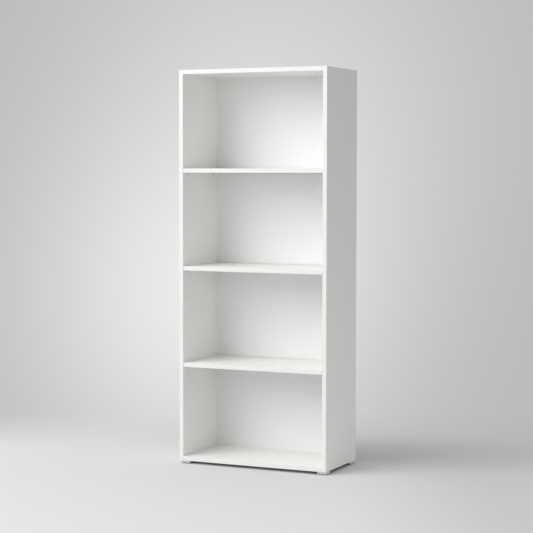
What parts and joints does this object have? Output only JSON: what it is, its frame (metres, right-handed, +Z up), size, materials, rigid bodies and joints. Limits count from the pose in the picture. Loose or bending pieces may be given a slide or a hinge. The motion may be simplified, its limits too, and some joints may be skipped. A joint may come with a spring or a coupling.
{
  "type": "bookcase with adjustable shelves",
  "caption": "Tall open-fronted bookcase: a flat-pack white board case on small feet, with a thin back and shelves that rest on pins and can be moved up or down.",
  "frame": {"origin": "on the floor, under the middle of the bookcase's outline", "axes": "+X to the viewer's right when facing the open front, +Y towards the back panel, so the front faces -Y, +Z up"},
  "size_m": [0.6, 0.294, 1.482],
  "materials": {
    "white_melamine": "satin white melamine on chipboard, fine pearl texture, raw chipboard on the hidden edges",
    "white_edging": "satin white plastic edging",
    "hardboard": "white lacquer on the inside, raw brown fibre on the rear",
    "zinc_plated_steel": "zinc plated, dull",
    "die_cast_zinc": "die-cast, slightly rough",
    "beech": "raw fluted beech",
    "white_plastic": "fine moulded texture",
    "nickel_plated_steel": "satin nickel"
  },
  "bodies": {
    "case": {"left_side_panel": "white_melamine", "right_side_panel": "white_melamine", "top_panel": "white_melamine", "bottom_panel": "white_melamine", "left_side_front_edging": "white_edging", "right_side_front_edging": "white_edging", "left_side_top_edging": "white_edging", "right_side_top_edging": "white_edging", "top_panel_edging": "white_edging", "bottom_panel_edging": "white_edging", "back_panel": "hardboard", "back_panel_nails": "zinc_plated_steel", "cam_bolts": "zinc_plated_steel", "cam_locks": "die_cast_zinc", "cam_caps": "white_plastic", "dowels": "beech", "front_left_foot": "white_plastic", "front_right_foot": "white_plastic", "rear_left_foot": "white_plastic", "rear_right_foot": "white_plastic", "foot_screws": "zinc_plated_steel"},
    "upper_shelf_pin_set": {"upper_shelf_pins": "nickel_plated_steel"},
    "upper_shelf_board": {"upper_shelf": "white_melamine", "upper_shelf_edging": "white_edging"},
    "middle_shelf_pin_set": {"middle_shelf_pins": "nickel_plated_steel"},
    "middle_shelf_board": {"middle_shelf": "white_melamine", "middle_shelf_edging": "white_edging"},
    "lower_shelf_pin_set": {"lower_shelf_pins": "nickel_plated_steel"},
    "lower_shelf_board": {"lower_shelf": "white_melamine", "lower_shelf_edging": "white_edging"}
  },
  "joints": [
    {"name": "upper_shelf_height", "type": "slide", "parent": "case", "child": "upper_shelf_pin_set", "axis": [0, 0, 1], "range_m": [-0.096, 0.096]},
    {"name": "upper_shelf_pull", "type": "slide", "parent": "upper_shelf_pin_set", "child": "upper_shelf_board", "axis": [0, -1, 0], "range_m": [0, 0.24]},
    {"name": "middle_shelf_height", "type": "slide", "parent": "case", "child": "middle_shelf_pin_set", "axis": [0, 0, 1], "range_m": [-0.096, 0.096]},
    {"name": "middle_shelf_pull", "type": "slide", "parent": "middle_shelf_pin_set", "child": "middle_shelf_board", "axis": [0, -1, 0], "range_m": [0, 0.24]},
    {"name": "lower_shelf_height", "type": "slide", "parent": "case", "child": "lower_shelf_pin_set", "axis": [0, 0, 1], "range_m": [-0.096, 0.096]},
    {"name": "lower_shelf_pull", "type": "slide", "parent": "lower_shelf_pin_set", "child": "lower_shelf_board", "axis": [0, -1, 0], "range_m": [0, 0.24]}
  ]
}
